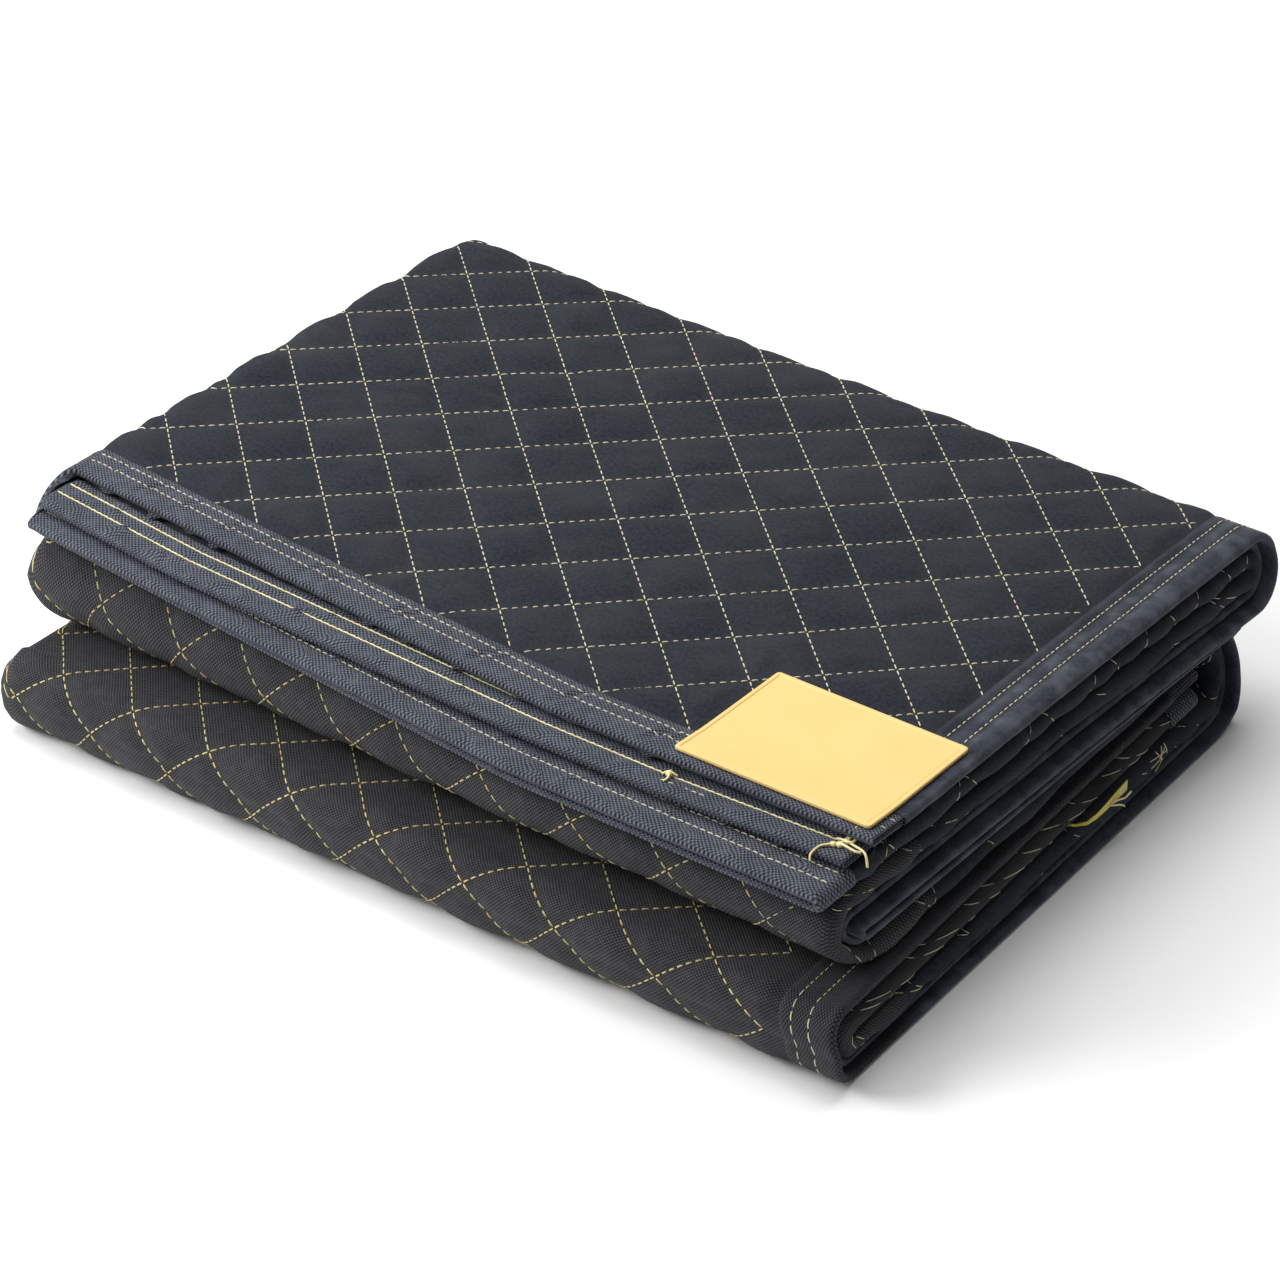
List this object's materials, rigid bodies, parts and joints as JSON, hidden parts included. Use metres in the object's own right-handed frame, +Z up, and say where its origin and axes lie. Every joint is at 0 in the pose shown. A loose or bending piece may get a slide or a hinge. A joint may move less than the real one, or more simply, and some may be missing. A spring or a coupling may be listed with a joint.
{
  "type": "moving blanket",
  "caption": "Quilted moving blanket folded into a thick rectangular pile, with bound edges, a plain rubber corner label and a loose ribbon end.",
  "frame": {"origin": "middle of the pile's box on the surface it lies on", "axes": "+X along the pile's long edges, towards the end with the cloth's free ends; +Y from the front edge to the back; +Z up"},
  "size_m": [0.527, 0.4117, 0.1259],
  "materials": {
    "quilted_cloth": "brushed, with diamond quilting in cream thread",
    "woven_binding": "coarse plain weave",
    "label_rubber": "satin moulded",
    "tab_ribbon": "woven ribbon"
  },
  "bodies": {
    "root": {"quilted_cloth": "quilted_cloth", "front_binding": "woven_binding", "tucked_binding": "woven_binding", "top_end_binding": "woven_binding", "inner_end_binding": "woven_binding", "corner_label": "label_rubber", "ribbon_tab": "tab_ribbon"}
  },
  "joints": []
}
